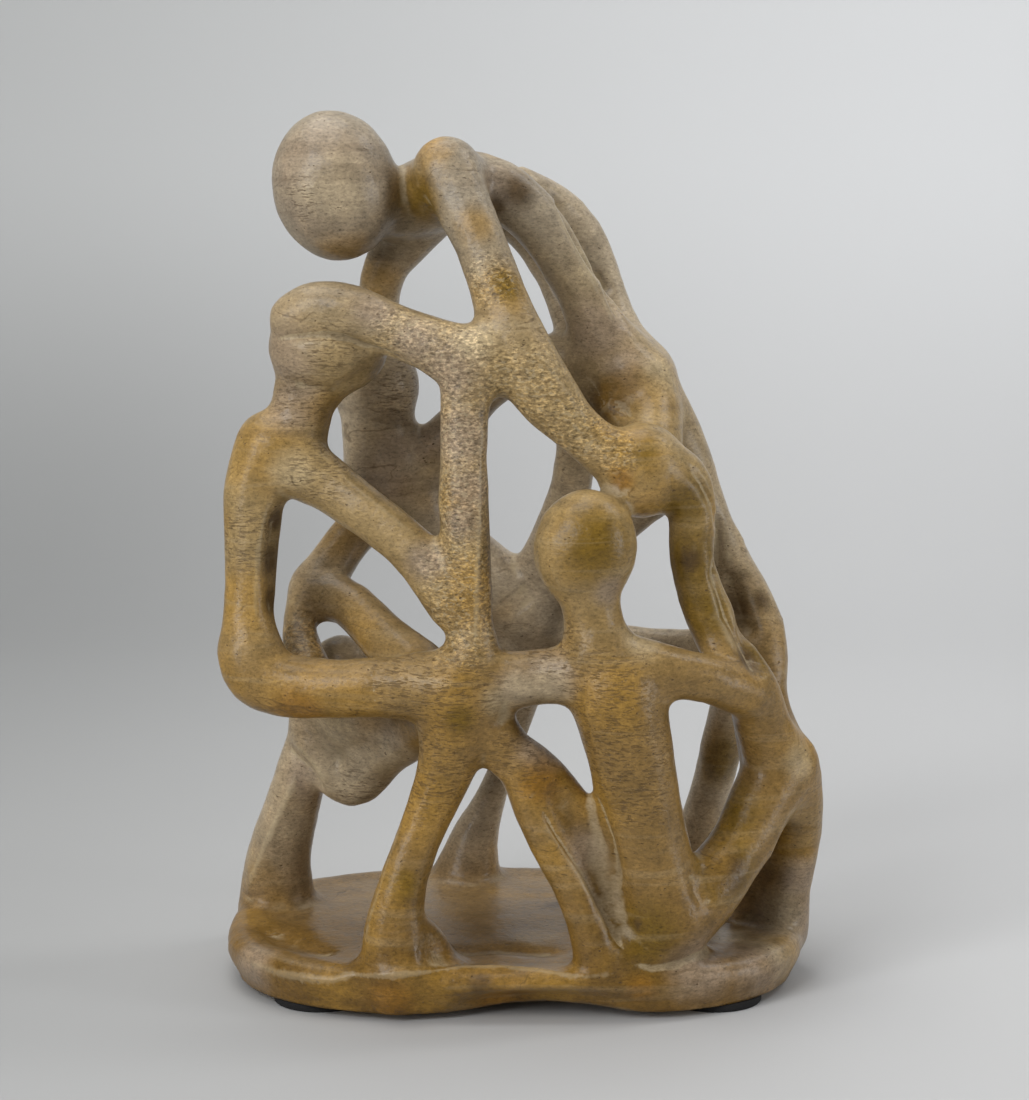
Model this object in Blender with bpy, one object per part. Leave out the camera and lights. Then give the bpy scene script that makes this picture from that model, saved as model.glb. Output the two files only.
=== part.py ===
"""Family group carving: egg-headed stone figures linked arm in arm on one oval base, on four pads.

Millimetres for the base and pads. The figures are a free form: their joints and girths are
thousandths of the carving's height, across (+X to the right), away (+Y to the back) and up.
"""
import math

import bmesh
import bpy
from mathutils import Matrix, Vector

MM = 0.001

# Whole work
HEIGHT = 345.0 * MM

# Base, carved from the same stone
BASE_WIDTH = 235.0 * MM
BASE_DEPTH = 160.0 * MM
BASE_THICKNESS = 17.0 * MM
BASE_SQUARENESS = 2.6
RIM_ROUND = 5.0 * MM
RIM_HEIGHT = 1.2 * MM
END_UNDERCUT = 7.0 * MM
FRONT_UNDERCUT = 18.0 * MM
FRONT_UNDERCUT_FOCUS = 8
# Going up the side: share of the thickness, share of the rim rounding, share of the undercut
BASE_SIDE = (
    (0.00, 0.00, 0.85),
    (0.30, 0.00, 0.35),
    (0.55, 0.00, 0.05),
    (0.70, 0.05, 0.00),
    (0.90, 0.40, 0.00),
    (1.00, 1.00, 0.00),
)
RIM_WIDTH = 4.0 * MM
HOLLOW_SLOPE = 8.0 * MM

# Round pads under the base
PAD_DIAMETER = 38.0 * MM
PAD_THICKNESS = 3.0 * MM
PAD_INSET_LEFT = 22.5 * MM
PAD_INSET_RIGHT = 20.0 * MM
PAD_INSET_FRONT = 17.0 * MM
PAD_INSET_BACK = 17.0 * MM
GLUE_GAP = 0.3 * MM

# Fineness of the carving
CHISEL_STEP = 1.9 * MM
SAWN_OFF = 6.0 * MM
RUBBING_PASSES = 7
RUBBED_OFF = 0.6 * MM
CARVING_TRIANGLES = 9200
FOLD_DEGREES = 80.0
FOLD_ROUNDS = 6
LIMB_SIDES = 20
STEPS_PER_JOINT = 5
BASE_SIDES = 96


def clear_scene():
    for old in list(bpy.data.objects):
        bpy.data.objects.remove(old, do_unlink=True)


def make_material(name, colour, roughness):
    material = bpy.data.materials.new(name)
    material.use_nodes = True
    shader = material.node_tree.nodes["Principled BSDF"]
    shader.inputs["Base Color"].default_value = (*colour, 1.0)
    shader.inputs["Roughness"].default_value = roughness
    shader.inputs["Metallic"].default_value = 0.0
    material.diffuse_color = (*colour, 1.0)
    return material


def joint(across, away, up, girth):
    """A named spot of a figure with its half-thickness, from thousandths of the height."""
    share = HEIGHT / 1000.0
    return Vector((across * share, away * share, up * share)), girth * share


def smooth_through(joints):
    """Centres and radii along a curve that runs smoothly through the joints."""
    values = [(*place, girth) for place, girth in joints]
    before = [2.0 * a - b for a, b in zip(values[0], values[1])]
    after = [2.0 * a - b for a, b in zip(values[-1], values[-2])]
    padded = [before, *values, after]
    path = []
    for p0, p1, p2, p3 in zip(padded, padded[1:], padded[2:], padded[3:]):
        for step in range(STEPS_PER_JOINT):
            t = step / STEPS_PER_JOINT
            point = []
            for a, b, c, d in zip(p0, p1, p2, p3):
                rise = (c - a) * t
                bend = (2.0 * a - 5.0 * b + 4.0 * c - d) * t * t
                twist = (3.0 * b - a - 3.0 * c + d) * t ** 3
                point.append(0.5 * (2.0 * b + rise + bend + twist))
            path.append(point)
    path.append(list(values[-1]))
    return [(Vector(point[:3]), point[3]) for point in path]


def ball(stone, centre, radii, turn=Matrix.Identity(3)):
    """An egg-shaped lump, as wide, deep and tall as its three radii."""
    grown = [radius + RUBBED_OFF for radius in radii]
    place = Matrix.Translation(centre) @ turn.to_4x4() @ Matrix.Diagonal((*grown, 1.0))
    bmesh.ops.create_icosphere(stone, subdivisions=3, radius=1.0, matrix=place)


def limb(stone, *joints):
    """A round limb with rounded ends, swept through its joints."""
    path = smooth_through(joints)
    side = Vector((0.0, 1.0, 0.0))
    rings = []
    for index, (centre, radius) in enumerate(path):
        ahead = path[min(index + 1, len(path) - 1)][0]
        behind = path[max(index - 1, 0)][0]
        along = (ahead - behind).normalized()
        side = (side - along * side.dot(along)).normalized()
        other = along.cross(side)
        ring = []
        for corner in range(LIMB_SIDES):
            angle = 2.0 * math.pi * corner / LIMB_SIDES
            offset = side * math.cos(angle) + other * math.sin(angle)
            ring.append(stone.verts.new(centre + offset * (radius + RUBBED_OFF)))
        rings.append(ring)
    for first, second in zip(rings, rings[1:]):
        for corner in range(LIMB_SIDES):
            turned = (corner + 1) % LIMB_SIDES
            stone.faces.new((first[corner], first[turned], second[turned], second[corner]))
    stone.faces.new(tuple(reversed(rings[0])))
    stone.faces.new(tuple(rings[-1]))
    for centre, radius in (path[0], path[-1]):
        ball(stone, centre, (radius, radius, radius))


def head(stone, place, depth, rise, lean=0.0):
    """A plain egg head: its joint gives the middle and half-width, lean tips it to the right."""
    centre, half_width = place
    share = HEIGHT / 1000.0
    turn = Matrix.Rotation(math.radians(lean), 3, "Y")
    ball(stone, centre, (half_width, depth * share, rise * share), turn)


def carve_bending_parent(stone):
    """The tallest figure: it bends from the right and reaches down over the others."""
    head(stone, joint(-201, -58, 921, 69), depth=67, rise=83, lean=-10)
    nape = joint(-147, -29, 900, 38)
    throat = joint(-117, -17, 903, 39)
    shoulder = joint(-79, -23, 918, 43)
    upper_back = joint(-7, -23, 910, 32)
    hip = joint(134, 0, 690, 54)
    limb(stone, joint(-183, -52, 907, 44), nape, throat, shoulder, joint(-41, -23, 920, 37))
    limb(stone, joint(-96, -40, 918, 34), joint(-70, -60, 930, 38))
    limb(
        stone, joint(-41, -23, 920, 37), upper_back, joint(36, -17, 866, 27),
        joint(75, -12, 799, 25), joint(102, -6, 745, 36), hip,
    )
    limb(
        stone, joint(-76, -75, 938, 37), joint(-58, -93, 902, 30), joint(-37, -110, 857, 27),
        joint(-19, -122, 808, 28), joint(-3, -133, 761, 33), joint(29, -142, 702, 34),
        joint(66, -142, 659, 26), joint(97, -138, 632, 27),
    )
    limb(
        stone, joint(-90, 6, 895, 30), joint(-127, 17, 858, 29), joint(-151, 23, 822, 24),
        joint(-158, 35, 783, 23), joint(-158, 60, 728, 25), joint(-158, 64, 690, 30),
    )
    limb(
        stone, joint(-51, 30, 909, 30), joint(9, 58, 873, 24), joint(46, 64, 816, 20),
        joint(70, 46, 764, 24), joint(101, 20, 715, 34),
    )
    limb(
        stone, joint(6, 45, 917, 24), joint(51, 78, 891, 25), joint(82, 84, 853, 26),
        joint(102, 70, 798, 26), joint(121, 46, 749, 27), joint(146, 14, 702, 41),
    )
    limb(
        stone, joint(112, 6, 700, 50), joint(126, -2, 692, 56),
        joint(146, -24, 660, 45), joint(153, -60, 630, 37),
    )


def carve_parent_legs(stone):
    """The bending parent's two legs: one down the right side, one behind the middle heads."""
    limb(
        stone, joint(148, 6, 684, 42), joint(178, 14, 643, 34), joint(201, 22, 598, 30),
        joint(221, 26, 544, 26), joint(244, 22, 490, 27), joint(268, 8, 436, 34),
        joint(281, -14, 383, 36), joint(284, -38, 325, 32), joint(300, -60, 268, 38),
    )
    limb(
        stone, joint(104, 6, 710, 48), joint(83, 17, 656, 33), joint(72, 29, 602, 23),
        joint(61, 52, 546, 24), joint(40, 93, 474, 31), joint(19, 122, 415, 44),
    )
    limb(
        stone, joint(205, 17, 591, 24), joint(162, 41, 551, 20),
        joint(116, 64, 508, 20), joint(61, 99, 454, 28),
    )
    limb(
        stone, joint(55, 116, 383, 22), joint(127, 93, 376, 18),
        joint(198, 58, 376, 18), joint(265, 12, 384, 26),
    )
    limb(
        stone, joint(269, 20, 392, 30), joint(262, 76, 312, 22), joint(252, 110, 238, 24),
        joint(239, 133, 168, 23), joint(221, 157, 98, 27), joint(213, 170, 44, 34),
    )


def carve_seated_parent(stone):
    """The left parent in front: its head lies on top, its body is the upright middle column."""
    crown = joint(-243, -114, 776, 28)
    limb(
        stone, crown, joint(-215, -120, 787, 30), joint(-179, -128, 783, 29),
        joint(-126, -137, 762, 27), joint(-93, -142, 750, 29), joint(-51, -145, 732, 35),
        joint(-10, -139, 727, 33),
    )
    limb(
        stone, joint(-42, -145, 738, 33), joint(-54, -151, 689, 26), joint(-56, -157, 634, 24),
        joint(-56, -162, 569, 26), joint(-50, -168, 503, 23), joint(-46, -168, 447, 21),
        joint(-48, -168, 396, 34),
    )
    limb(stone, joint(-105, -162, 371, 37), joint(-62, -168, 367, 47), joint(-34, -168, 369, 33))
    limb(
        stone, joint(-63, -168, 345, 42), joint(-75, -172, 284, 31), joint(-95, -178, 230, 25),
        joint(-113, -186, 185, 23), joint(-127, -192, 142, 26), joint(-133, -192, 100, 33),
        joint(-128, -186, 52, 46),
    )
    limb(stone, joint(-108, -184, 88, 24), joint(-84, -178, 50, 30))
    limb(stone, joint(-41, -165, 342, 32), joint(-11, -165, 300, 27), joint(12, -165, 282, 28))


def carve_hugging_child(stone):
    """The left child under that head: its arm loops down and forward to the hip."""
    head(stone, joint(-208, -93, 744, 66), depth=58, rise=55)
    armpit = joint(-272, -93, 629, 42)
    limb(stone, joint(-222, -88, 716, 42), joint(-238, -88, 679, 33), joint(-244, -90, 652, 34), armpit)
    limb(
        stone, armpit, joint(-291, -99, 585, 34), joint(-295, -104, 538, 30),
        joint(-297, -110, 482, 27), joint(-299, -116, 437, 28), joint(-297, -122, 402, 36),
    )
    limb(
        stone, joint(-298, -122, 402, 36), joint(-287, -126, 378, 37), joint(-259, -133, 366, 34),
        joint(-226, -144, 365, 32), joint(-189, -153, 366, 31), joint(-144, -160, 369, 32),
        joint(-94, -166, 368, 36),
    )
    limb(
        stone, joint(-263, -96, 622, 40), joint(-211, -110, 592, 29), joint(-174, -128, 567, 26),
        joint(-139, -139, 543, 25), joint(-105, -151, 513, 26), joint(-66, -162, 462, 28),
    )


def carve_rear_pair(stone):
    """The shaded figure behind: head and trunk, both arms, and the legs that carry the back."""
    head(stone, joint(-163, 64, 686, 50), depth=50, rise=52)
    trunk_top = joint(-152, 62, 592, 50)
    pelvis = joint(14, 124, 410, 52)
    limb(stone, joint(-161, 64, 680, 45), joint(-161, 64, 634, 41), trunk_top)
    limb(
        stone, trunk_top, joint(-122, 75, 543, 47), joint(-78, 99, 487, 43),
        joint(-27, 116, 434, 48), pelvis,
    )
    limb(
        stone, joint(-122, 64, 574, 38), joint(-67, 58, 641, 24), joint(-23, 41, 691, 23),
        joint(35, 20, 722, 25), joint(92, 8, 712, 34),
    )
    elbow = joint(-235, 12, 448, 29)
    limb(
        stone, joint(-145, 64, 564, 36), joint(-187, 43, 517, 25), joint(-220, 23, 472, 26),
        elbow, joint(-193, -17, 440, 25), joint(-150, -64, 407, 27), joint(-110, -110, 380, 33),
    )
    limb(
        stone, elbow, joint(-250, -12, 421, 18), joint(-246, -41, 392, 21),
        joint(-231, -87, 367, 24),
    )
    thigh_top = joint(-205, 35, 354, 37)
    limb(
        stone, thigh_top, joint(-231, 35, 300, 36), joint(-228, 23, 262, 31),
        joint(-192, 9, 222, 30), joint(-152, -23, 266, 29), joint(-104, -81, 308, 30),
        joint(-72, -130, 340, 36),
    )
    limb(stone, joint(-219, 24, 322, 34), joint(-186, -8, 300, 36), joint(-150, -46, 326, 34))
    limb(
        stone, joint(-244, 38, 262, 27), joint(-267, 54, 182, 31), joint(-286, 70, 112, 37),
        joint(-290, 80, 46, 46),
    )
    limb(
        stone, joint(-18, 122, 358, 37), joint(-72, 99, 295, 29),
        joint(-135, 64, 261, 28), joint(-196, 23, 234, 31),
    )
    limb(
        stone, pelvis, joint(14, 136, 330, 28), joint(4, 148, 278, 20), joint(-12, 159, 216, 15),
        joint(-30, 172, 160, 18), joint(-50, 182, 108, 28), joint(-62, 188, 50, 42),
    )


def carve_kneeling_child(stone):
    """The child in front, seen from behind, with both arms out and both knees up."""
    head(stone, joint(78, -174, 528, 56), depth=50, rise=64, lean=8)
    limb(stone, joint(81, -174, 515, 40), joint(85, -174, 457, 30), joint(94, -178, 410, 40))
    limb(
        stone, joint(96, -178, 410, 36), joint(112, -181, 367, 50), joint(128, -181, 303, 46),
        joint(141, -176, 226, 45), joint(156, -170, 163, 46), joint(170, -164, 108, 54),
    )
    limb(stone, joint(94, -178, 387, 36), joint(37, -172, 384, 29), joint(-14, -170, 377, 31))
    limb(
        stone, joint(139, -178, 393, 34), joint(183, -174, 387, 27), joint(220, -162, 377, 25),
        joint(262, -133, 356, 27),
    )
    right_knee = joint(310, -64, 256, 42)
    limb(
        stone, joint(173, -165, 105, 50), joint(216, -151, 133, 38), joint(255, -122, 176, 33),
        joint(284, -93, 224, 36), right_knee,
    )
    limb(
        stone, right_knee, joint(325, -46, 212, 33), joint(329, -35, 165, 28),
        joint(321, -24, 106, 27), joint(315, -18, 47, 32),
    )
    limb(
        stone, joint(298, -32, 250, 30), joint(292, -8, 170, 22),
        joint(288, 0, 108, 22), joint(285, 4, 47, 30),
    )
    left_knee = joint(12, -166, 281, 29)
    limb(stone, joint(114, -170, 112, 26), joint(84, -167, 184, 25), joint(50, -165, 245, 26), left_knee)
    limb(
        stone, left_knee, joint(22, -180, 240, 23), joint(38, -188, 200, 21),
        joint(72, -196, 136, 21), joint(94, -202, 68, 25),
    )
    limb(stone, joint(104, -196, 72, 25), joint(126, -186, 70, 29), joint(150, -172, 68, 36))


def carve_nested_child(stone):
    """The small figure at the right: its head rests on the kneeling child's, its arm hangs."""
    head(stone, joint(142, -122, 608, 49), depth=49, rise=52)
    limb(
        stone, joint(157, -119, 604, 42), joint(185, -112, 591, 34), joint(200, -110, 563, 26),
        joint(198, -110, 522, 24), joint(205, -110, 482, 24), joint(220, -113, 441, 26),
        joint(243, -120, 400, 28), joint(268, -118, 358, 29), joint(283, -100, 312, 30),
        joint(302, -76, 268, 36),
    )


def base_radius(angle):
    """Half-size of the base in a direction of its plan, a rounded oval with soft corners."""
    across = abs(math.cos(angle)) / (BASE_WIDTH / 2.0)
    away = abs(math.sin(angle)) / (BASE_DEPTH / 2.0)
    return (across ** BASE_SQUARENESS + away ** BASE_SQUARENESS) ** (-1.0 / BASE_SQUARENESS)


def base_undercut(angle):
    """How far the lower edge tucks in: most in the middle of the front, between the pads."""
    end = END_UNDERCUT * math.cos(angle) ** 2
    front = FRONT_UNDERCUT * max(0.0, -math.sin(angle)) ** FRONT_UNDERCUT_FOCUS
    return end + front


def carve_base(stone):
    """The low oval base: tucked in below, rounded above, a slight rim round a hollowed top."""
    under = PAD_THICKNESS + GLUE_GAP
    top = under + BASE_THICKNESS
    rings = []
    levels = [(under - SAWN_OFF, 0.0, 1.0)]
    for rise, rounding, tuck in BASE_SIDE:
        levels.append((under + BASE_THICKNESS * rise, RIM_ROUND * rounding, tuck))
    levels.append((top, RIM_ROUND + RIM_WIDTH, 0.0))
    levels.append((top - RIM_HEIGHT, RIM_ROUND + RIM_WIDTH + HOLLOW_SLOPE, 0.0))
    for height, inset, tuck in levels:
        ring = []
        for corner in range(BASE_SIDES):
            angle = 2.0 * math.pi * corner / BASE_SIDES
            radius = base_radius(angle) - inset - tuck * base_undercut(angle)
            spot = (radius * math.cos(angle), radius * math.sin(angle), height)
            ring.append(stone.verts.new(spot))
        rings.append(ring)
    for lower, upper in zip(rings, rings[1:]):
        for corner in range(BASE_SIDES):
            turned = (corner + 1) % BASE_SIDES
            stone.faces.new((lower[corner], lower[turned], upper[turned], upper[corner]))
    stone.faces.new(tuple(reversed(rings[0])))
    stone.faces.new(tuple(rings[-1]))


def apply_modifier(carving, kind, **settings):
    """Add one modifier, set it, and replace the mesh by what it makes."""
    modifier = carving.modifiers.new(kind.title(), kind)
    for key, value in settings.items():
        setattr(modifier, key, value)
    graph = bpy.context.evaluated_depsgraph_get()
    worked = bpy.data.meshes.new_from_object(carving.evaluated_get(graph))
    carving.modifiers.clear()
    carving.data = worked


def ease_folds(mesh):
    """Even out the few triangles that the thinning of the mesh folded over."""
    shape = bmesh.new()
    shape.from_mesh(mesh)
    for _ in range(FOLD_ROUNDS):
        folded = [edge for edge in shape.edges if edge.calc_face_angle() > math.radians(FOLD_DEGREES)]
        loose = {vert for edge in folded for face in edge.link_faces for vert in face.verts}
        bmesh.ops.smooth_vert(
            shape, verts=list(loose), factor=0.5, use_axis_x=True, use_axis_y=True, use_axis_z=True,
        )
    shape.to_mesh(mesh)
    shape.free()


def cut_flat_below(mesh, height):
    """Saw the underside flat, so that the work stands on its pads."""
    shape = bmesh.new()
    shape.from_mesh(mesh)
    everything = shape.verts[:] + shape.edges[:] + shape.faces[:]
    bmesh.ops.bisect_plane(
        shape, geom=everything, dist=0.01 * MM, plane_co=(0.0, 0.0, height),
        plane_no=(0.0, 0.0, 1.0), clear_inner=True,
    )
    bmesh.ops.remove_doubles(shape, verts=shape.verts, dist=0.05 * MM)
    edges = [edge for edge in shape.edges if edge.is_boundary]
    bmesh.ops.contextual_create(shape, geom=edges)
    bmesh.ops.recalc_face_normals(shape, faces=shape.faces)
    shape.to_mesh(mesh)
    shape.free()


def make_carving(material):
    """All figures and the base as one stone, rubbed smooth where they meet."""
    stone = bmesh.new()
    carve_base(stone)
    carve_bending_parent(stone)
    carve_parent_legs(stone)
    carve_seated_parent(stone)
    carve_hugging_child(stone)
    carve_rear_pair(stone)
    carve_kneeling_child(stone)
    carve_nested_child(stone)
    bmesh.ops.recalc_face_normals(stone, faces=stone.faces)
    mesh = bpy.data.meshes.new("family_group")
    stone.to_mesh(mesh)
    stone.free()
    carving = bpy.data.objects.new("family_group", mesh)
    bpy.context.scene.collection.objects.link(carving)
    apply_modifier(carving, "REMESH", mode="VOXEL", voxel_size=CHISEL_STEP)
    apply_modifier(carving, "SMOOTH", factor=0.5, iterations=RUBBING_PASSES)
    triangles = 2 * len(carving.data.polygons)
    apply_modifier(carving, "DECIMATE", ratio=min(1.0, CARVING_TRIANGLES / triangles))
    ease_folds(carving.data)
    cut_flat_below(carving.data, PAD_THICKNESS + GLUE_GAP)
    carving.data.materials.clear()
    carving.data.materials.append(material)
    carving.data.shade_smooth()
    return carving


def make_pad(name, across, away, material):
    """One stick-on round pad under the base, its middle at a place in plan."""
    mesh = bpy.data.meshes.new(name)
    disc = bmesh.new()
    bmesh.ops.create_cone(
        disc, cap_ends=True, segments=48, radius1=PAD_DIAMETER / 2.0,
        radius2=PAD_DIAMETER / 2.0, depth=PAD_THICKNESS,
    )
    disc.to_mesh(mesh)
    disc.free()
    mesh.materials.append(material)
    mesh.shade_smooth()
    mesh.set_sharp_from_angle(angle=math.radians(40.0))
    pad = bpy.data.objects.new(name, mesh)
    pad.location = (across, away, PAD_THICKNESS / 2.0)
    bpy.context.scene.collection.objects.link(pad)
    return pad


def make_pads(material):
    """A pad at each corner, set in from the base's ends and sides."""
    pads = []
    half_width = (BASE_WIDTH - PAD_DIAMETER) / 2.0
    half_depth = (BASE_DEPTH - PAD_DIAMETER) / 2.0
    rows = (("front", PAD_INSET_FRONT - half_depth), ("rear", half_depth - PAD_INSET_BACK))
    sides = (("left", PAD_INSET_LEFT - half_width), ("right", half_width - PAD_INSET_RIGHT))
    for row, away in rows:
        for side, across in sides:
            pads.append(make_pad("pad_" + row + "_" + side, across, away, material))
    return pads


def centre_on_origin(carving, pads):
    """Shift everything sideways so that the stone's box is centred over the origin."""
    for axis in (0, 1):
        spots = [vertex.co[axis] for vertex in carving.data.vertices]
        shift = (min(spots) + max(spots)) / 2.0
        for vertex in carving.data.vertices:
            vertex.co[axis] -= shift
        for pad in pads:
            pad.location[axis] -= shift


def main():
    clear_scene()
    carving = make_carving(make_material("soapstone", (0.52, 0.40, 0.24), 0.42))
    pads = make_pads(make_material("black_felt", (0.012, 0.012, 0.013), 0.85))
    centre_on_origin(carving, pads)


main()
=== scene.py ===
"""Looks of a soapstone family group: one carved stone on four felt pads, a pale sweep, soft light."""

import math

import bpy
import numpy as np
from mathutils import Matrix, Vector
from mathutils.bvhtree import BVHTree


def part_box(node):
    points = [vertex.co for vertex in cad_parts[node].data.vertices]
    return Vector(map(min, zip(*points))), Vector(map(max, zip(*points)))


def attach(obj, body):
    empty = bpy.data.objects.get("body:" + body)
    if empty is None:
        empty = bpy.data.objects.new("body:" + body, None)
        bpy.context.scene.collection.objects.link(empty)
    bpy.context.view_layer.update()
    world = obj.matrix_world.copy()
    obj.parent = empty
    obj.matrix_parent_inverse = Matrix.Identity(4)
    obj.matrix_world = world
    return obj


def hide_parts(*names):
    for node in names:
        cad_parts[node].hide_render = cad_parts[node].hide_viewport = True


MM = 0.001

# The photograph and the lens it was taken with
PHOTO_WIDTH = 1029
PHOTO_HEIGHT = 1100
LENS_PIXELS = 2640.0
CAMERA_PLACE = Vector((-3.57 * MM, -1050.0 * MM, 330.0 * MM))
CAMERA_PITCH = 0.149
CAMERA_NEAR = 0.05
FILM_WIDTH = 36.0

# Working of the stone: voxel grids, rounds of smoothing, and the skin that smoothing wears off
ROUGH_GRID = 1.6 * MM
FINE_GRID = 0.9 * MM
ROUGH_RUBBING = 11
FINE_RUBBING = 2
SETTLING = 2
RUBBED_AWAY = 0.45 * MM

# Stone left below the sole until it is sawn flat, and how near two heights count as one
SPARE_BELOW = 6.0 * MM
WELD = 0.01 * MM
STONE_TRIANGLES = 190000

# Soft waviness from hand work
HAND_WAVE = 11.0 * MM
HAND_WAVE_DEPTH = 0.5 * MM

# Rounds of smoothing that fine and wide hollows are measured against
NEAR_ROUNDS = 14
WIDE_ROUNDS = 130

# Lines traced from the photograph onto the stone: pixels between spots, how far a line reaches in
# widths of its own, how soon it weakens on stone that turns away, and towards its ends
TRACE_PIXELS = 3
LINE_REACH = 4.0
HOLLOW_REACH = 2.6
FACING_GAIN = 3.0
END_GAIN = 6.0

# Arch under the base's front edge, between the pads
ARCH_MIDDLE = 10.5 * MM
ARCH_HALF = 66.0 * MM
ARCH_RISE = 10.0 * MM
ARCH_TOP = 14.0 * MM
ARCH_FRONT = -72.0 * MM
ARCH_DEPTH = 45.0 * MM

# Felt pads
PAD_EDGE = 0.6 * MM
PAD_CORNERS = 96
PAD_EDGE_STEPS = 3
PAD_SHARP_DEGREES = 35.0
FELT_DARK = (0.003, 0.003, 0.003, 1.0)
FELT_LIGHT = (0.014, 0.013, 0.013, 1.0)
FIBRES = 1800.0
FELT_BUMP = 0.2 * MM
PAD_NAMES = ("pad_front_left", "pad_front_right", "pad_rear_left", "pad_rear_right")

# Grooves of the carving: pixels of the photograph they run through, width and depth in millimetres
GROOVES = {
    "under the seated parent's head": (
        (
            (268, 341), (284, 338), (310, 335), (328, 335), (347, 339), (365, 347), (387, 353), (405, 361),
        ), 1.1, 3.2,
    ),
    "arch meets column": (((417, 314), (431, 326), (435, 368)), 0.8, 0.5),
    "hand against the hip": (((367, 661), (372, 678), (374, 694), (376, 714)), 0.9, 0.9),
    "nested child's cheek": (((671, 474), (671, 492), (669, 511)), 1.0, 0.7),
    "kneeling child's shin and thigh": (
        ((532, 795), (557, 834), (586, 875), (603, 903), (617, 936), (631, 963)), 2.2, 2.8,
    ),
    "kneeling child's thigh and back": (
        ((580, 755), (596, 797), (611, 842), (617, 875), (616, 900)), 2.2, 2.0,
    ),
    "left rear shin and thigh": (
        ((284, 744), (297, 757), (311, 771), (322, 790), (334, 806)), 1.6, 2.6,
    ),
    "under the kneeling child": (
        ((631, 963), (652, 969), (676, 966), (701, 953), (717, 940)), 1.4, 1.2,
    ),
}

# Hollows rubbed into the limbs: the same, but wide and soft
HOLLOWS = {
    "under the hugging child's chin": (
        ((284, 378), (306, 388), (334, 390), (356, 379), (374, 362)), 3.0, 1.2,
    ),
    "neck behind the bending parent's arm": (
        ((416, 152), (420, 174), (424, 198), (435, 216)), 3.0, 1.2,
    ),
    "hip beside the child's hand": (((504, 672), (508, 692), (503, 720), (499, 737)), 3.2, 1.0),
    "between the two back limbs": (
        ((541, 180), (562, 214), (585, 256), (607, 292), (626, 333)), 2.6, 2.4,
    ),
    "behind the nested child's arm": (
        (
            (678, 452), (703, 484), (716, 508), (717, 545), (715, 575), (727, 616), (747, 652), (764, 690),
        ), 2.4, 2.0,
    ),
    "bending parent's hip": (((584, 402), (606, 382), (624, 398), (612, 420)), 9.0, 3.2),
    "right back limb": (((721, 560), (735, 600), (751, 642), (768, 680)), 6.0, 3.6),
    "inside the hugging child's arm": (((276, 505), (272, 550), (272, 600), (276, 630)), 4.0, 2.0),
    "kneeling child's thigh": (
        ((550, 782), (575, 815), (593, 850), (606, 890), (618, 930)), 6.0, 2.6,
    ),
    "crook of the nested child": (((618, 466), (628, 500)), 4.0, 0.8),
    "rear hip": (((512, 590), (530, 612)), 8.0, 1.2),
    "right thigh and back": (((690, 867), (695, 890), (703, 903), (721, 897)), 3.0, 1.0),
    "base before the front leg": (((335, 955), (300, 945), (262, 925)), 7.0, 2.2),
    "base between the legs": (
        ((415, 955), (450, 950), (500, 948), (540, 950), (575, 956)), 6.0, 2.2,
    ),
}

# Arrises where two rubbed faces meet: the same, with their rise
RIDGES = {
    "column's right edge": (
        ((487, 395), (483, 413), (479, 454), (478, 515), (476, 590), (475, 645), (478, 662)), 3.4, 1.5,
    ),
    "upper arm's inner edge": (
        ((276, 492), (266, 510), (257, 550), (255, 600), (257, 640)), 3.4, 1.1,
    ),
    "left rear shin": (((303, 764), (283, 809), (261, 860), (246, 900)), 5.0, 2.8),
    "bent knee's left edge": (((292, 740), (305, 752), (319, 768), (330, 786)), 2.4, 1.2),
    "front leg's left edge": (((407, 813), (389, 864), (373, 915), (362, 958)), 3.6, 1.1),
    "middle back limb": (
        ((534, 169), (553, 201), (571, 242), (589, 278), (611, 319), (623, 338)), 3.6, 1.0,
    ),
    "inner rim of the back": (
        ((500, 221), (521, 234), (539, 262), (552, 292), (557, 315)), 2.0, 0.7,
    ),
    "bending parent's forearm": (((500, 300), (530, 345), (560, 385), (590, 420)), 4.0, 0.9),
    "hugging child's far shoulder": (
        ((283, 425), (320, 455), (360, 492), (400, 525), (430, 548)), 4.5, 1.1,
    ),
    "nested child's brow": (((616, 450), (620, 476), (622, 500)), 2.4, 0.5),
    "kneeling child's crown": (
        ((558, 509), (549, 527), (548, 553), (554, 575), (565, 599), (576, 614)), 2.4, 0.5,
    ),
    "right back limb's edge": (
        (
            (727, 517), (743, 542), (762, 571), (779, 603), (782, 626), (783, 657), (781, 692),
        ), 3.0, 1.0,
    ),
    "right thigh's edge": (
        ((709, 942), (740, 914), (760, 878), (776, 838), (788, 814), (803, 806)), 2.8, 0.8,
    ),
    "right knee": (((784, 724), (806, 738), (817, 754)), 3.0, 0.6),
    "kneeling child's shin": (
        ((528, 790), (552, 830), (580, 872), (600, 912), (614, 950)), 1.8, 1.0,
    ),
    "kneeling child's left flank": (((584, 690), (592, 730), (600, 770), (612, 820)), 4.0, 0.7),
    "rim of the base": (
        (
            (237, 957), (279, 973), (316, 979), (334, 980), (354, 975), (392, 975), (429, 972), (466, 969),
            (502, 969), (538, 972), (570, 977), (602, 975), (643, 967),
        ), 2.2, 2.0,
    ),
}

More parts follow.
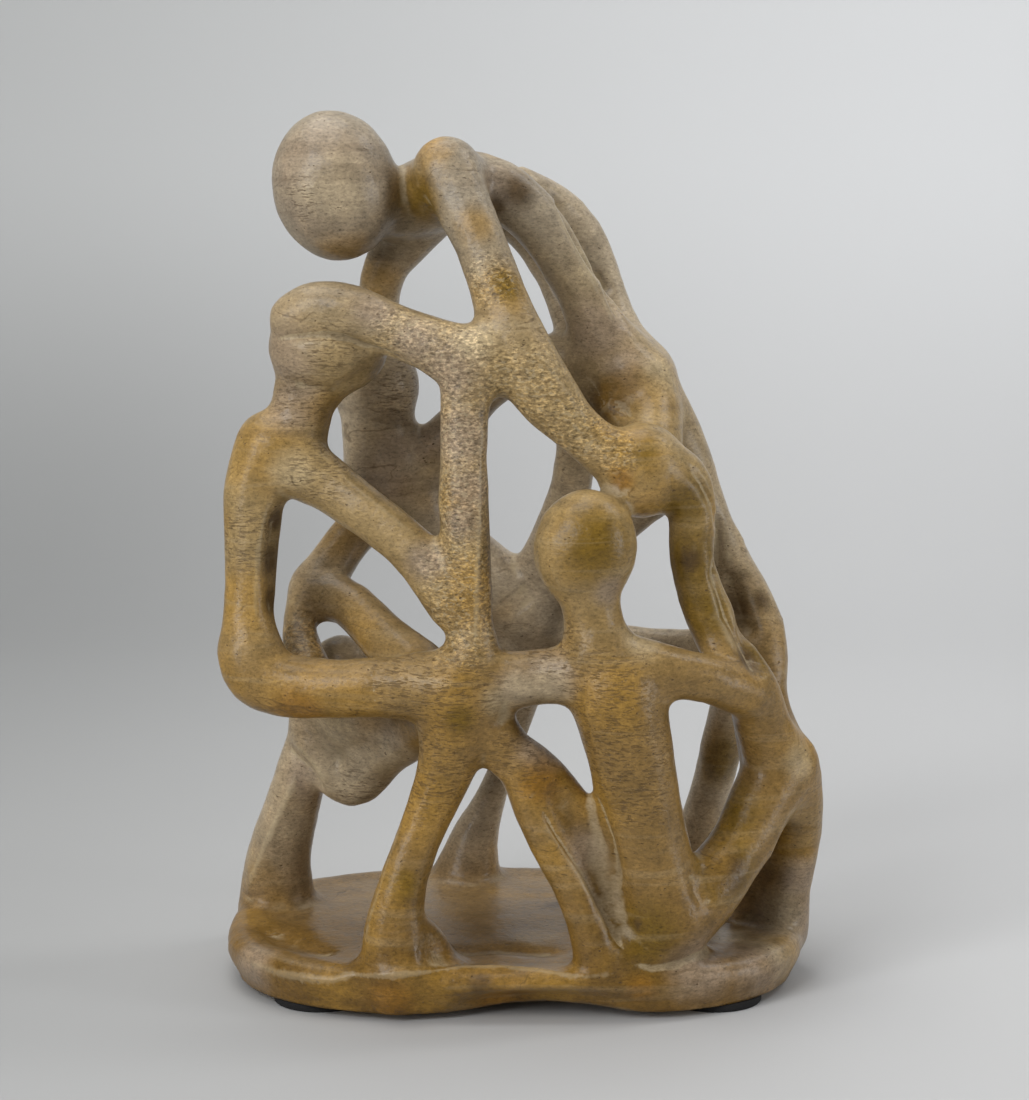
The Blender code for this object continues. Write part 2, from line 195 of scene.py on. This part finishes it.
# Stone colours, some also used for painted shade and painted highlights
GREY_STONE = (0.315, 0.260, 0.185, 1.0)
REAR_STONE = (0.405, 0.325, 0.220, 1.0)
# Darker rear foot tone: partly real brown stone, partly painted shade of the low parts
REAR_FOOT_AND_SHADE = (0.225, 0.142, 0.058, 1.0)
TAN_STONE = (0.330, 0.228, 0.098, 1.0)
OCHRE_STONE = (0.240, 0.143, 0.042, 1.0)
# Darker front foot tone: partly real ochre stone, partly painted shade of the low parts
FOOT_STONE_AND_SHADE = (0.170, 0.092, 0.018, 1.0)
OCHRE = (0.340, 0.190, 0.032, 1.0)
ORANGE = (0.24, 0.112, 0.012, 1.0)
OLIVE = (0.150, 0.086, 0.006, 1.0)
ROSE = (0.300, 0.225, 0.155, 1.0)
BROWN = (0.085, 0.048, 0.016, 1.0)
UMBER = (0.070, 0.038, 0.014, 1.0)
CHALK = (0.50, 0.405, 0.25, 1.0)

# Stains, and painted light and shade: colour, strength, and places with a radius in millimetres round a
# pixel of the photograph
STAINS_AND_PAINTED_LIGHT = {
    "ochre": (
        OCHRE, 0.60, (
            (258, 448, 26), (240, 600, 20), (225, 680, 16), (300, 705, 24), (350, 708, 18),
            (420, 800, 26), (448, 722, 18), (455, 690, 16), (545, 785, 18), (590, 545, 22),
            (800, 740, 18), (795, 850, 14), (505, 290, 16), (475, 225, 12), (375, 280, 14),
            (635, 515, 14), (640, 460, 18), (775, 590, 18), (715, 510, 16), (600, 800, 18),
            (612, 700, 24), (470, 590, 16), (460, 500, 12), (340, 530, 18), (330, 990, 16),
            (430, 150, 12), (425, 200, 18), (345, 250, 14), (665, 500, 18), (720, 840, 18),
            (430, 990, 18), (490, 985, 18), (550, 990, 18),
        ),
    ),
    # Olive patches: partly real olive-tan stone, partly painted shade in the hollows behind the nested
    # child's arm and on the shaded right thigh
    "olive_and_shade": (
        OLIVE, 0.85, (
            (596, 545, 22), (507, 285, 10), (460, 720, 9), (645, 935, 20), (728, 868, 20),
            (640, 450, 10), (700, 550, 12), (755, 660, 12), (402, 885, 10), (424, 200, 20),
            (692, 560, 20), (704, 612, 18), (686, 505, 16), (725, 760, 20), (725, 815, 20),
        ),
    ),
    # Rose patches: partly real grey-pink stone, partly painted light on the shaded bent knee and the base
    # under the right knee
    "rose_and_light": (
        ROSE, 0.75, (
            (325, 185, 36), (495, 190, 14), (372, 312, 12), (520, 165, 14), (500, 420, 14),
            (425, 560, 12), (610, 590, 10), (385, 480, 18), (230, 910, 14), (395, 450, 12),
            (350, 765, 24), (760, 955, 26), (700, 965, 20), (805, 930, 22), (520, 690, 15),
            (585, 850, 14), (290, 400, 18), (462, 520, 12), (250, 965, 16), (800, 880, 14),
            (280, 360, 22), (600, 330, 20), (625, 370, 16), (430, 440, 14), (545, 680, 16),
            (540, 750, 14), (720, 935, 18), (775, 925, 18), (380, 740, 24), (365, 800, 20),
            (310, 780, 14), (460, 435, 20), (448, 375, 20), (470, 490, 14), (415, 345, 14),
        ),
    ),
    "orange": (
        ORANGE, 0.75, (
            (392, 1001, 13), (500, 994, 16), (541, 782, 12), (622, 480, 7), (300, 712, 14),
            (640, 990, 9),
        ),
    ),
    # Brown patches: painted shade in shaded hollows, crevices and on the inner face of the hugging child's
    # arm
    "painted_shade": (
        BROWN, 0.85, (
            (497, 205, 7), (637, 925, 4), (274, 520, 7), (270, 560, 9), (270, 600, 8), (735, 610, 13),
            (604, 398, 13), (728, 872, 13), (520, 192, 11), (745, 660, 9), (762, 600, 7),
            (555, 905, 8), (760, 540, 8), (690, 560, 7), (480, 985, 8),
        ),
    ),
    # Pale patches: partly real chalky paleness, partly painted light on shaded spots such as the bent knee
    # and the base under the right knee
    "pale": (
        CHALK, 0.45, (
            (520, 690, 12), (475, 340, 12), (660, 380, 14), (590, 270, 14), (530, 850, 8),
            (335, 190, 24), (640, 640, 12), (800, 760, 12), (350, 770, 28), (340, 735, 24),
            (385, 760, 26), (500, 700, 10), (780, 945, 20), (725, 935, 16), (780, 915, 16),
            (545, 690, 14), (290, 470, 12), (275, 375, 14), (365, 800, 20),
        ),
    ),
}

# Places that were left tooled or got scratched
WORKED = {
    "tooled": (
        (450, 360, 24), (460, 430, 24), (460, 500, 24), (462, 570, 24), (465, 620, 24), (520, 390, 24),
        (570, 430, 20), (360, 580, 22), (614, 450, 12), (300, 640, 20), (490, 280, 14), (400, 330, 16),
    ),
    "scratched": (
        (420, 700, 26), (430, 770, 26), (400, 680, 18), (600, 700, 28), (620, 760, 28), (640, 800, 16),
        (360, 790, 18), (400, 390, 18), (280, 630, 18), (520, 760, 16), (300, 400, 16), (470, 690, 18),
        (560, 650, 18), (300, 200, 12), (330, 350, 16), (245, 540, 18), (320, 470, 18),
    ),
}

# Ground tones: where each gives way to the next, going down from the top or forward from the back; the
# darker foot tones are partly real ochre-brown stone and partly painted shade of the low parts
TAN_BAND = (0.325, 0.240)
OCHRE_BAND = (0.200, 0.105)
FOOT_BAND = (0.075, 0.022)
REAR_FOOT_BAND = (0.060, 0.016)
FRONT_BAND = (0.022, -0.026)

# Sizes of the stone's patterns, in lumps to the metre, and the tilt of its bedding
CLOUDS = 14.0
STRAYS = 24.0
DRIFT = 42.0
MOTTLE = 130.0
DIMPLES = 330.0
DUST = 1300.0
BANDS = (8.0, 8.0, 95.0)
VEINS = (15.0, 15.0, 38.0)
CUTS = (270.0, 270.0, 1350.0)
PITS = (420.0, 420.0, 800.0)
GRANULES = (440.0, 440.0, 700.0)
GRAIN = (540.0, 540.0, 1050.0)
BEDDING_TILT = (0.10, -0.22, 0.0)
STONE_BUMP = 0.3 * MM

# Sweep: a floor that bends up into a wall, darker at the left in painted shade
SWEEP_FRONT = -2.2
SWEEP_BEND = 0.75
SWEEP_RADIUS = 0.7
SWEEP_WIDTH = 5.0
SWEEP_LENGTH = 6.0
SWEEP_STEPS = 80
SWEEP_CLOUDS = 1.5
FLOOR_LEFT = (0.33, 0.335, 0.335, 1.0)
FLOOR_RIGHT = (0.56, 0.565, 0.57, 1.0)
WALL_LEFT = (0.55, 0.56, 0.56, 1.0)
WALL_RIGHT = (0.67, 0.68, 0.69, 1.0)

# Soft lights, high overhead and at the front left, weak at both sides, and one for the wall: place,
# aim, width and height, watts, tint
WHITE = (1.0, 1.0, 1.0)
LIGHTS = {
    "overhead": ((-0.25, 0.05, 1.3), (0.0, 0.0, 0.1), (1.2, 0.9), 10.4, (1.0, 0.985, 0.96)),
    "front": ((-0.8, -1.1, 1.05), (0.0, 0.0, 0.18), (0.8, 0.6), 11.4, WHITE),
    "window": ((-1.1, -1.0, 0.5), (0.0, 0.0, 0.25), (0.3, 0.5), 5.4, WHITE),
    "strip": ((1.25, -0.45, 0.3), (0.0, 0.0, 0.2), (0.3, 0.8), 5.5, WHITE),
    "backdrop": ((1.1, 0.3, 1.5), (0.55, 1.45, 1.0), (0.8, 0.6), 13.0, WHITE),
}
SKY = (0.95, 0.97, 1.0, 1.0)
SKY_STRENGTH = 0.17


def pick_only(piece):
    """Make one piece the only selected and active one."""
    bpy.ops.object.select_all(action="DESELECT")
    piece.select_set(True)
    bpy.context.view_layer.objects.active = piece


def finish_with(piece, kind, **settings):
    """Give a piece one modifier with its settings and apply it."""
    pick_only(piece)
    modifier = piece.modifiers.new(kind.title(), kind)
    for key, value in settings.items():
        setattr(modifier, key, value)
    bpy.ops.object.modifier_apply(modifier=modifier.name)


def make_camera():
    """The camera where the photograph's stood, with its lens."""
    bpy.ops.object.camera_add(location=CAMERA_PLACE, rotation=(math.pi / 2 - CAMERA_PITCH, 0.0, 0.0))
    camera = bpy.context.object
    camera.data.sensor_fit = "HORIZONTAL"
    camera.data.sensor_width = FILM_WIDTH
    camera.data.lens = LENS_PIXELS / PHOTO_WIDTH * FILM_WIDTH
    camera.data.clip_start = CAMERA_NEAR
    bpy.context.scene.camera = camera
    bpy.context.scene.view_settings.view_transform = "Standard"


def sight_line(across, down):
    """Direction from the camera through a pixel of the photograph."""
    turn = Matrix.Rotation(math.pi / 2 - CAMERA_PITCH, 3, "X")
    right = (across - PHOTO_WIDTH / 2) / LENS_PIXELS
    up = (PHOTO_HEIGHT / 2 - down) / LENS_PIXELS
    return (turn @ Vector((right, up, -1.0))).normalized()


def read_points(mesh, key):
    """One row of three numbers for each point of a mesh."""
    values = np.empty(len(mesh.vertices) * 3)
    mesh.vertices.foreach_get(key, values)
    return values.reshape(-1, 3)


class Relief:
    """Carves one mesh along lines drawn on the photograph, and finds marked places on it."""

    def __init__(self, piece):
        self.mesh = piece.data
        self.places = read_points(self.mesh, "co")
        self.normals = read_points(self.mesh, "normal")
        self.push = np.zeros(len(self.places))
        self.tree = BVHTree.FromObject(piece, bpy.context.evaluated_depsgraph_get())

    def seen_at(self, across, down):
        """The point and normal of the stone behind a pixel of the photograph."""
        spot, normal, _, _ = self.tree.ray_cast(CAMERA_PLACE, sight_line(across, down))
        return spot, normal

    def trace(self, pixels):
        """Points on the stone, with their normals, under a line through pixels of the photograph."""
        spots = []
        for first, second in zip(pixels, pixels[1:]):
            steps = max(2, int(math.dist(first, second) / TRACE_PIXELS))
            for step in range(steps):
                share = step / steps
                across = first[0] + (second[0] - first[0]) * share
                down = first[1] + (second[1] - first[1]) * share
                spot, normal = self.seen_at(across, down)
                if spot is not None:
                    spots.append((*spot, *normal))
        return np.array(spots)

    def nearest(self, spots, reach):
        """Nearby points that face as a traced line does, their distance to it and its strength there."""
        low = spots[:, :3].min(axis=0) - reach
        high = spots[:, :3].max(axis=0) + reach
        near = np.flatnonzero(((self.places > low) & (self.places < high)).all(axis=1))
        gaps = np.linalg.norm(self.places[near, None, :] - spots[None, :, :3], axis=2)
        closest = gaps.argmin(axis=1)
        facing = (self.normals[near] * spots[closest, 3:]).sum(axis=1)
        distance = gaps[np.arange(len(near)), closest]
        keep = (distance < reach) & (facing > 0.0)
        along = closest[keep] / (len(spots) - 1)
        fade = np.clip(np.minimum(along, 1.0 - along) * END_GAIN, 0.0, 1.0)
        return near[keep], distance[keep], fade * np.clip(facing[keep] * FACING_GAIN, 0.0, 1.0)

    def groove(self, pixels, width, depth):
        """Cut a narrow groove with sloping sides."""
        near, distance, share = self.nearest(self.trace(pixels), LINE_REACH * width * MM)
        self.push[near] -= depth * MM * share * np.exp(-distance / (width * MM))

    def hollow(self, pixels, width, depth):
        """Rub a wide hollow with a round bottom."""
        near, distance, share = self.nearest(self.trace(pixels), HOLLOW_REACH * width * MM)
        self.push[near] -= depth * MM * share * np.exp(-((distance / (width * MM)) ** 2))

    def ridge(self, pixels, width, rise):
        """Raise an arris between two faces."""
        near, distance, share = self.nearest(self.trace(pixels), LINE_REACH * width * MM)
        self.push[near] += rise * MM * share * np.exp(-distance / (width * MM))

    def arch(self, sole):
        """Lift the underside of the front edge between the pads, fading upward and backward."""
        across, away, height = self.places.T
        span = np.clip(1.0 - ((across - ARCH_MIDDLE) / ARCH_HALF) ** 2, 0.0, 1.0) ** 2
        low = np.clip((sole + ARCH_TOP - height) / (ARCH_TOP + SPARE_BELOW), 0.0, 1.0)
        front = np.clip((ARCH_FRONT + ARCH_DEPTH - away) / ARCH_DEPTH, 0.0, 1.0)
        self.places[:, 2] += ARCH_RISE * span * low * front

    def apply(self):
        """Move the mesh's points by all that was cut and raised."""
        self.places += self.normals * self.push[:, None]
        self.mesh.vertices.foreach_set("co", self.places.reshape(-1))
        self.mesh.update()

    def marked(self, places):
        """For each point, one at the middle of the nearest marked place and nothing at its edge."""
        share = np.zeros(len(self.places))
        for across, down, radius in places:
            spot, _ = self.seen_at(across, down)
            if spot is not None:
                gap = np.linalg.norm(self.places - np.array(spot), axis=1) / (radius * MM)
                share = np.maximum(share, np.clip(1.0 - gap, 0.0, 1.0))
        return share


def hollowness(mesh, rounds):
    """How far each point lies below the stone around it, in millimetres, smoothed over some rounds."""
    places = read_points(mesh, "co")
    normals = read_points(mesh, "normal")
    count = len(places)
    ends = np.empty(len(mesh.edges) * 2, dtype=np.int64)
    mesh.edges.foreach_get("vertices", ends)
    first, second = ends.reshape(-1, 2).T
    links = np.bincount(first, minlength=count) + np.bincount(second, minlength=count)
    around = places.copy()
    for _ in range(rounds):
        total = np.empty_like(around)
        for axis in range(3):
            sums = np.bincount(first, around[second, axis], count)
            total[:, axis] = sums + np.bincount(second, around[first, axis], count)
        around = 0.5 * around + 0.5 * total / links[:, None]
    return ((around - places) * normals).sum(axis=1) / MM


def write_attribute(mesh, name, values):
    """Keep one number for each point of a mesh, for the material to read."""
    attribute = mesh.attributes.new(name, "FLOAT", "POINT")
    attribute.data.foreach_set("value", values.astype(np.float32))


def copy_solid(source, name):
    """A copy of a CAD solid with its points merged."""
    piece = source.copy()
    piece.data = source.data.copy()
    piece.name = name
    piece.data.name = name
    bpy.context.scene.collection.objects.link(piece)
    pick_only(piece)
    bpy.ops.object.mode_set(mode="EDIT")
    bpy.ops.mesh.select_all(action="SELECT")
    bpy.ops.mesh.remove_doubles(threshold=WELD)
    bpy.ops.object.mode_set(mode="OBJECT")
    return piece


def carve_lines(stone, sole):
    """Cut the grooves and hollows, raise the arrises and lift the arch."""
    relief = Relief(stone)
    for pixels, width, depth in GROOVES.values():
        relief.groove(pixels, width, depth)
    for pixels, width, depth in HOLLOWS.values():
        relief.hollow(pixels, width, depth)
    for pixels, width, rise in RIDGES.values():
        relief.ridge(pixels, width, rise)
    relief.arch(sole)
    relief.apply()
    finish_with(stone, "SMOOTH", factor=0.5, iterations=SETTLING)


def add_waviness(stone):
    """Unsettle the surface softly, as hand work leaves it."""
    waves = bpy.data.textures.new("hand_work", "CLOUDS")
    waves.noise_scale = HAND_WAVE
    waves.noise_depth = 1
    finish_with(
        stone, "DISPLACE", texture=waves, texture_coords="LOCAL", strength=HAND_WAVE_DEPTH, mid_level=0.5,
    )


def saw_flat(stone, sole):
    """Cut off what lies below the sole and close the stone there."""
    pick_only(stone)
    bpy.ops.object.mode_set(mode="EDIT")
    bpy.ops.mesh.select_all(action="SELECT")
    bpy.ops.mesh.bisect(
        plane_co=(0.0, 0.0, sole), plane_no=(0.0, 0.0, -1.0), use_fill=True, clear_outer=True,
    )
    bpy.ops.object.mode_set(mode="OBJECT")


def make_stone(source):
    """The carving: the plain solid rubbed round, carved along the lines, its sole sawn flat."""
    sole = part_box("family_group")[0][2]
    stone = copy_solid(source, "carved_stone")
    for vertex in stone.data.vertices:
        if vertex.co.z < sole + WELD:
            vertex.co.z = sole - SPARE_BELOW
    finish_with(stone, "REMESH", mode="VOXEL", voxel_size=ROUGH_GRID)
    finish_with(stone, "SMOOTH", factor=0.5, iterations=ROUGH_RUBBING)
    finish_with(stone, "DISPLACE", strength=RUBBED_AWAY, mid_level=0.0)
    finish_with(stone, "REMESH", mode="VOXEL", voxel_size=FINE_GRID)
    finish_with(stone, "SMOOTH", factor=0.5, iterations=FINE_RUBBING)
    carve_lines(stone, sole)
    add_waviness(stone)
    write_attribute(stone.data, "hollow_near", hollowness(stone.data, NEAR_ROUNDS))
    write_attribute(stone.data, "hollow_wide", hollowness(stone.data, WIDE_ROUNDS))
    saw_flat(stone, sole)
    triangles = sum(len(face.vertices) - 2 for face in stone.data.polygons)
    finish_with(stone, "DECIMATE", ratio=min(1.0, STONE_TRIANGLES / triangles))
    surface = Relief(stone)
    for name, (_, _, places) in STAINS_AND_PAINTED_LIGHT.items():
        write_attribute(stone.data, name, surface.marked(places))
    for name, places in WORKED.items():
        write_attribute(stone.data, name, surface.marked(places))
    stone.data.shade_smooth()
    return stone


def make_pad(name):
    """A stick-on felt disc with a soft edge."""
    low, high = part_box(name)
    middle = (Vector(low) + Vector(high)) / 2
    bpy.ops.object.select_all(action="DESELECT")
    bpy.ops.mesh.primitive_cylinder_add(
        vertices=PAD_CORNERS, radius=(high[0] - low[0]) / 2, depth=high[2] - low[2], location=middle,
    )
    pad = bpy.context.object
    pad.name = "felt_" + name
    bpy.ops.object.transform_apply(location=True, rotation=True, scale=True)
    bpy.ops.object.mode_set(mode="EDIT")
    bpy.ops.mesh.select_all(action="DESELECT")
    bpy.ops.object.mode_set(mode="OBJECT")
    for edge in pad.data.edges:
        first, second = (pad.data.vertices[index].co for index in edge.vertices)
        edge.select = abs(first.z - second.z) < WELD
    bpy.ops.object.mode_set(mode="EDIT")
    bpy.ops.mesh.select_mode(type="EDGE")
    bpy.ops.mesh.bevel(offset=PAD_EDGE, segments=PAD_EDGE_STEPS, affect="EDGES")
    bpy.ops.object.mode_set(mode="OBJECT")
    bpy.ops.object.shade_smooth_by_angle(angle=math.radians(PAD_SHARP_DEGREES))
    return pad


class Wire:
    """A socket of a material's tree that Python expressions can reckon with."""

    def __init__(self, tree, socket=None):
        self.tree = tree
        self.socket = socket

    def node(self, kind, settings=None, sockets=None, take=0):
        """Add any node: its settings first, then values or links into its sockets."""
        node = self.tree.nodes.new(kind)
        for key, value in (settings or {}).items():
            setattr(node, key, value)
        for key, value in (sockets or {}).items():
            if isinstance(value, Wire):
                self.tree.links.new(value.socket, node.inputs[key])
            else:
                node.inputs[key].default_value = value
        return Wire(self.tree, node.outputs[take])

    def reckon(self, operation, first, second=0.0):
        """One step of arithmetic."""
        return self.node("ShaderNodeMath", {"operation": operation}, {0: first, 1: second})

    def __add__(self, other):
        return self.reckon("ADD", self, other)

    __radd__ = __add__

    def __sub__(self, other):
        return self.reckon("SUBTRACT", self, other)

    def __rsub__(self, other):
        return self.reckon("SUBTRACT", other, self)

    def __mul__(self, other):
        return self.reckon("MULTIPLY", self, other)

    __rmul__ = __mul__

    def ramp(self, start, end):
        """A smooth step from zero to one as this value goes from start to end."""
        return self.node(
            "ShaderNodeMapRange", {"interpolation_type": "SMOOTHSTEP"},
            {"Value": self, "From Min": start, "From Max": end},
        )

    def noise(self, scale, detail=2.0, roughness=0.5, distortion=0.0):
        """Cloudy noise on these coordinates."""
        return self.node(
            "ShaderNodeTexNoise", {},
            {
                "Vector": self, "Scale": scale, "Detail": detail,
                "Roughness": roughness, "Distortion": distortion,
            },
        )

    def bedded(self, scale, detail, roughness=0.5, distortion=0.0):
        """Noise drawn out along the stone's bedding, with a scale for each axis."""
        laid = self.node(
            "ShaderNodeMapping", {}, {"Vector": self, "Rotation": BEDDING_TILT, "Scale": scale},
        )
        return laid.noise(1.0, detail, roughness, distortion)

    def blended(self, first, second, share):
        """A colour between two others."""
        return self.node(
            "ShaderNodeMix", {"data_type": "RGBA"}, {"Factor": share, 6: first, 7: second}, take=2,
        )

    def scaled(self, amount):
        """This colour made lighter or darker by a factor."""
        return self.node("ShaderNodeVectorMath", {"operation": "SCALE"}, {0: self, "Scale": amount})

    def tinted(self, colour, share):
        """This colour mixed towards another by a share."""
        return self.blended(self, colour, share)

    def feed(self, shader, name):
        """Lead this value into a socket of the shader."""
        self.tree.links.new(self.socket, shader.inputs[name])


def new_material(name):
    """A material with a plain shader, and a wire to build its tree with."""
    material = bpy.data.materials.new(name)
    material.use_nodes = True
    tree = material.node_tree
    shader = tree.nodes["Principled BSDF"]
    return material, Wire(tree), shader


def make_soapstone():
    """Satin soapstone: grey above and behind, ochre below and in front and darker towards the foot partly
    in painted shade, stained and scratched, with painted shade in hollows and painted light and highlights
    in places.
    """
    material, wire, shader = new_material("soapstone")
    spot = wire.node("ShaderNodeTexCoord", take="Object")
    marks = {}
    for name in ("hollow_near", "hollow_wide", *STAINS_AND_PAINTED_LIGHT, *WORKED):
        marks[name] = wire.node("ShaderNodeAttribute", {"attribute_name": name}, take="Fac")
    clouds = spot.noise(CLOUDS, 3.0, 0.5) - 0.5
    drift = spot.noise(DRIFT, 3.0, 0.55) - 0.5
    mottle = spot.noise(MOTTLE, 3.0, 0.6) - 0.5
    height = wire.node("ShaderNodeSeparateXYZ", {}, {0: spot}, take="Z") + clouds * 0.05
    away = wire.node("ShaderNodeSeparateXYZ", {}, {0: spot}, take="Y") + clouds * 0.03

    # Ground tone by height and depth, darker towards the foot: partly real ochre, partly painted shade
    front = wire.blended(GREY_STONE, TAN_STONE, height.ramp(*TAN_BAND))
    front = front.tinted(OCHRE_STONE, height.ramp(*OCHRE_BAND))
    front = front.tinted(FOOT_STONE_AND_SHADE, height.ramp(*FOOT_BAND))
    rear = wire.blended(REAR_STONE, REAR_FOOT_AND_SHADE, height.ramp(*REAR_FOOT_BAND))
    colour = rear.tinted(front, away.ramp(*FRONT_BAND))

    # Stains and painted light and shade, each a soft patch broken up a little
    for name, (tone, most, _) in STAINS_AND_PAINTED_LIGHT.items():
        share = (marks[name] + drift * 0.5 + mottle * 0.35).ramp(0.02, 0.75)
        colour = colour.tinted(tone, share * most)
    stray = spot.noise(STRAYS, 2.0, 0.5).ramp(0.58, 0.74)
    colour = colour.tinted(OCHRE, stray * 0.50)
    colour = colour.scaled(mottle * 0.9 + drift * 0.5 + 1.0)

    # Bedding: broad wavering bands and a few hairline veins
    bands = spot.bedded(BANDS, 3.0, 0.5, 1.6)
    colour = colour.tinted(CHALK, bands.ramp(0.54, 0.70) * 0.14)
    colour = colour.tinted(UMBER, bands.ramp(0.46, 0.32) * 0.20)
    veined = spot.bedded(VEINS, 3.0, 0.55, 0.8) - 0.5
    vein = wire.reckon("ABSOLUTE", veined).ramp(0.008, 0.002) * drift.ramp(0.0, 0.14)
    colour = colour.tinted(BROWN, vein * 0.45)

    # Grain: small flat flecks, strongest where the stone was left tooled
    grain = spot.bedded(GRAIN, 2.0, 0.65, 0.3)
    granules = spot.bedded(GRANULES, 2.0, 0.6, 0.5)
    dust = spot.noise(DUST, 1.0, 0.5)
    tooled = (marks["tooled"] * 1.4 + mottle * 0.9).ramp(0.05, 0.8)
    light = grain.ramp(0.51, 0.66) * (tooled * 0.65 + 0.20)
    dark = grain.ramp(0.48, 0.33) * (tooled * 0.25 + 0.24) + dust.ramp(0.44, 0.26) * 0.22
    colour = colour.scaled(light - dark + 1.0)
    colour = colour.tinted(CHALK, granules.ramp(0.52, 0.64) * tooled * 0.36)
    colour = colour.tinted(BROWN, granules.ramp(0.46, 0.36) * tooled * 0.28)

    # Scratches: short dark cuts along the bedding, and scattered pits
    cuts = spot.bedded(CUTS, 2.0, 0.55, 0.4)
    scratched = (marks["scratched"] * 1.3 + mottle * 1.1 + 0.06).ramp(0.05, 0.8)
    scratch = cuts.ramp(0.47, 0.37) * scratched
    colour = colour.tinted(UMBER, scratch * 0.52)
    pits = spot.bedded(PITS, 1.0).ramp(0.27, 0.21)
    colour = colour.tinted(UMBER, pits * 0.75)

    # Arrises pale, partly rubbed wear and partly painted highlight; chalky dust in the grooves; painted
    # shade in the deep hollows
    edge = marks["hollow_near"].ramp(-0.13, -0.34)
    groove = marks["hollow_near"].ramp(0.08, 0.26)
    colour = colour.tinted(CHALK, edge * 0.30)
    colour = colour.tinted(CHALK, groove * (grain * 0.9 + 0.05))
    # Painted shade: brown darkening in the deep hollows
    colour = colour.tinted(BROWN, marks["hollow_wide"].ramp(0.35, 1.8) * 0.40)
    colour.feed(shader, "Base Color")

    # Gloss and fine relief
    gloss = grain * 0.14 + tooled * 0.08 + scratch * 0.2 + mottle * 0.15 + groove * 0.15 + 0.27
    gloss.feed(shader, "Roughness")
    raised = spot.noise(DIMPLES, 2.0, 0.5) * 1.1 + granules * tooled * 0.8
    relief = raised + grain * (tooled * 0.8 + 0.4) - scratch * 0.9 - pits * 1.2
    bump = wire.node(
        "ShaderNodeBump", {}, {"Strength": 0.7, "Distance": STONE_BUMP, "Height": relief},
    )
    bump.feed(shader, "Normal")
    shader.inputs["Specular IOR Level"].default_value = 0.30
    return material


def make_felt():
    """Matt black felt with fine fibres."""
    material, wire, shader = new_material("black_felt")
    spot = wire.node("ShaderNodeTexCoord", take="Object")
    fibres = spot.noise(FIBRES, 3.0, 0.7)
    colour = wire.blended(FELT_DARK, FELT_LIGHT, fibres.ramp(0.3, 0.7))
    colour.feed(shader, "Base Color")
    bump = wire.node("ShaderNodeBump", {}, {"Strength": 0.8, "Distance": FELT_BUMP, "Height": fibres})
    bump.feed(shader, "Normal")
    shader.inputs["Roughness"].default_value = 0.95
    return material


def dress(piece, material):
    """Give a piece one material and no other."""
    piece.data.materials.clear()
    piece.data.materials.append(material)


def make_sweep():
    """A pale floor that curves up into a backdrop, darker at the left in painted shade."""
    bpy.ops.object.select_all(action="DESELECT")
    bpy.ops.mesh.primitive_grid_add(x_subdivisions=2, y_subdivisions=SWEEP_STEPS, size=1.0)
    sweep = bpy.context.object
    sweep.name = "sweep"
    run = SWEEP_BEND - SWEEP_FRONT
    arc = SWEEP_RADIUS * math.pi / 2
    for vertex in sweep.data.vertices:
        along = (vertex.co.y + 0.5) * SWEEP_LENGTH
        if along < run:
            away, up = SWEEP_FRONT + along, 0.0
        elif along < run + arc:
            angle = (along - run) / SWEEP_RADIUS
            away = SWEEP_BEND + SWEEP_RADIUS * math.sin(angle)
            up = SWEEP_RADIUS * (1.0 - math.cos(angle))
        else:
            away, up = SWEEP_BEND + SWEEP_RADIUS, SWEEP_RADIUS + along - run - arc
        vertex.co = (vertex.co.x * SWEEP_WIDTH, away, up)
    sweep.data.shade_smooth()
    material, wire, shader = new_material("pale_sweep")
    spot = wire.node("ShaderNodeTexCoord", take="Object")
    across = wire.node("ShaderNodeSeparateXYZ", {}, {0: spot}, take="X")
    across = across + spot.noise(SWEEP_CLOUDS) * 0.1
    high = wire.node("ShaderNodeSeparateXYZ", {}, {0: spot}, take="Z")
    # Painted shade: floor and wall darker towards the left
    floor = wire.blended(FLOOR_LEFT, FLOOR_RIGHT, across.ramp(-0.35, 0.35))
    wall = wire.blended(WALL_LEFT, WALL_RIGHT, across.ramp(-0.5, 0.5))
    floor.tinted(wall, high.ramp(0.0, 0.35)).feed(shader, "Base Color")
    shader.inputs["Roughness"].default_value = 0.7
    sweep.data.materials.append(material)


def make_light(name, place, aim, size, watts, tint):
    """One rectangular area light that faces its aim."""
    bpy.ops.object.light_add(type="AREA", location=place)
    light = bpy.context.object
    light.name = name
    light.data.shape = "RECTANGLE"
    light.data.size = size[0]
    light.data.size_y = size[1]
    light.data.energy = watts
    light.data.color = tint
    light.rotation_euler = (Vector(aim) - Vector(place)).to_track_quat("-Z", "Y").to_euler()


def make_lights():
    """Soft area lights, and a weak even light from all round."""
    for name, settings in LIGHTS.items():
        make_light(name, *settings)
    world = bpy.data.worlds.new("tent")
    world.use_nodes = True
    sky = world.node_tree.nodes["Background"]
    sky.inputs["Color"].default_value = SKY
    sky.inputs["Strength"].default_value = SKY_STRENGTH
    bpy.context.scene.world = world


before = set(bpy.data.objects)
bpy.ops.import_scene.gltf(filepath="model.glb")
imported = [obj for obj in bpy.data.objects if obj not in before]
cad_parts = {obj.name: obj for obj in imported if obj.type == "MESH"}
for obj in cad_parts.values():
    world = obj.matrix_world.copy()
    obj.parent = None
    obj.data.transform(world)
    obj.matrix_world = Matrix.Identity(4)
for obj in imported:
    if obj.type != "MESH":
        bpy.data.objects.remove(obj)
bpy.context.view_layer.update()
make_camera()

stone = make_stone(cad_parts["family_group"])
dress(stone, make_soapstone())
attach(stone, "root")
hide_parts("family_group")

felt = make_felt()
for pad_name in PAD_NAMES:
    pad = make_pad(pad_name)
    dress(pad, felt)
    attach(pad, "root")
    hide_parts(pad_name)

make_sweep()
make_lights()
